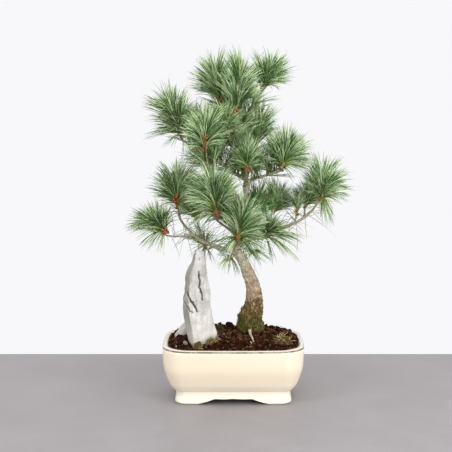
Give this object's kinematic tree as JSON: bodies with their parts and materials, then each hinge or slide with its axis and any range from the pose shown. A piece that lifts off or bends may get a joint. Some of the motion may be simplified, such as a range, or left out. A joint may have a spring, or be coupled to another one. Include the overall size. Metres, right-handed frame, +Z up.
{
  "type": "bonsai tree in a pot",
  "caption": "Small five-needle pine with needle tufts on curved wood, set with stones and moss in a glazed rectangular pot on cloud feet.",
  "frame": {"origin": "on the surface the pot stands on, under the middle of the whole plant's box", "axes": "+Z up along the tree, +X to the right along the pot's long side, -Y towards the front"},
  "size_m": [0.2871, 0.2172, 0.4579],
  "materials": {
    "glaze": "gloss",
    "soil": "matte",
    "bark": "matte",
    "needles": "satin",
    "moss": "matte",
    "stone": "matte",
    "gravel": "matte",
    "plastic_mesh": "matte",
    "wire": "satin"
  },
  "bodies": {
    "root": {"drainage_gravel": "gravel", "drainage_screen_left": "plastic_mesh", "drainage_screen_right": "plastic_mesh", "flank_stone": "stone", "moss_front": "moss", "moss_lump": "moss", "moss_right": "moss", "moss_side": "moss", "pebble": "stone", "pot": "glaze", "screen_clip_left": "wire", "screen_clip_right": "wire", "soil": "soil", "standing_stone": "stone", "tree_wood": "bark", "tuft_back_high": "needles", "tuft_back_left": "needles", "tuft_back_middle": "needles", "tuft_crown_back": "needles", "tuft_crown_front": "needles", "tuft_crown_left": "needles", "tuft_crown_right": "needles", "tuft_front_droop": "needles", "tuft_front_high": "needles", "tuft_front_left": "needles", "tuft_front_low": "needles", "tuft_front_spur": "needles", "tuft_heart": "needles", "tuft_heart_high": "needles", "tuft_left_back": "needles", "tuft_left_low": "needles", "tuft_left_out": "needles", "tuft_left_top": "needles", "tuft_middle_back": "needles", "tuft_middle_dark": "needles", "tuft_middle_low": "needles", "tuft_rear_left": "needles", "tuft_rear_middle": "needles", "tuft_rear_right": "needles", "tuft_right_back": "needles", "tuft_right_far": "needles", "tuft_right_front": "needles", "tuft_right_thin": "needles", "tuft_right_top": "needles", "tuft_upper_left": "needles", "tuft_upper_right": "needles"}
  },
  "joints": []
}
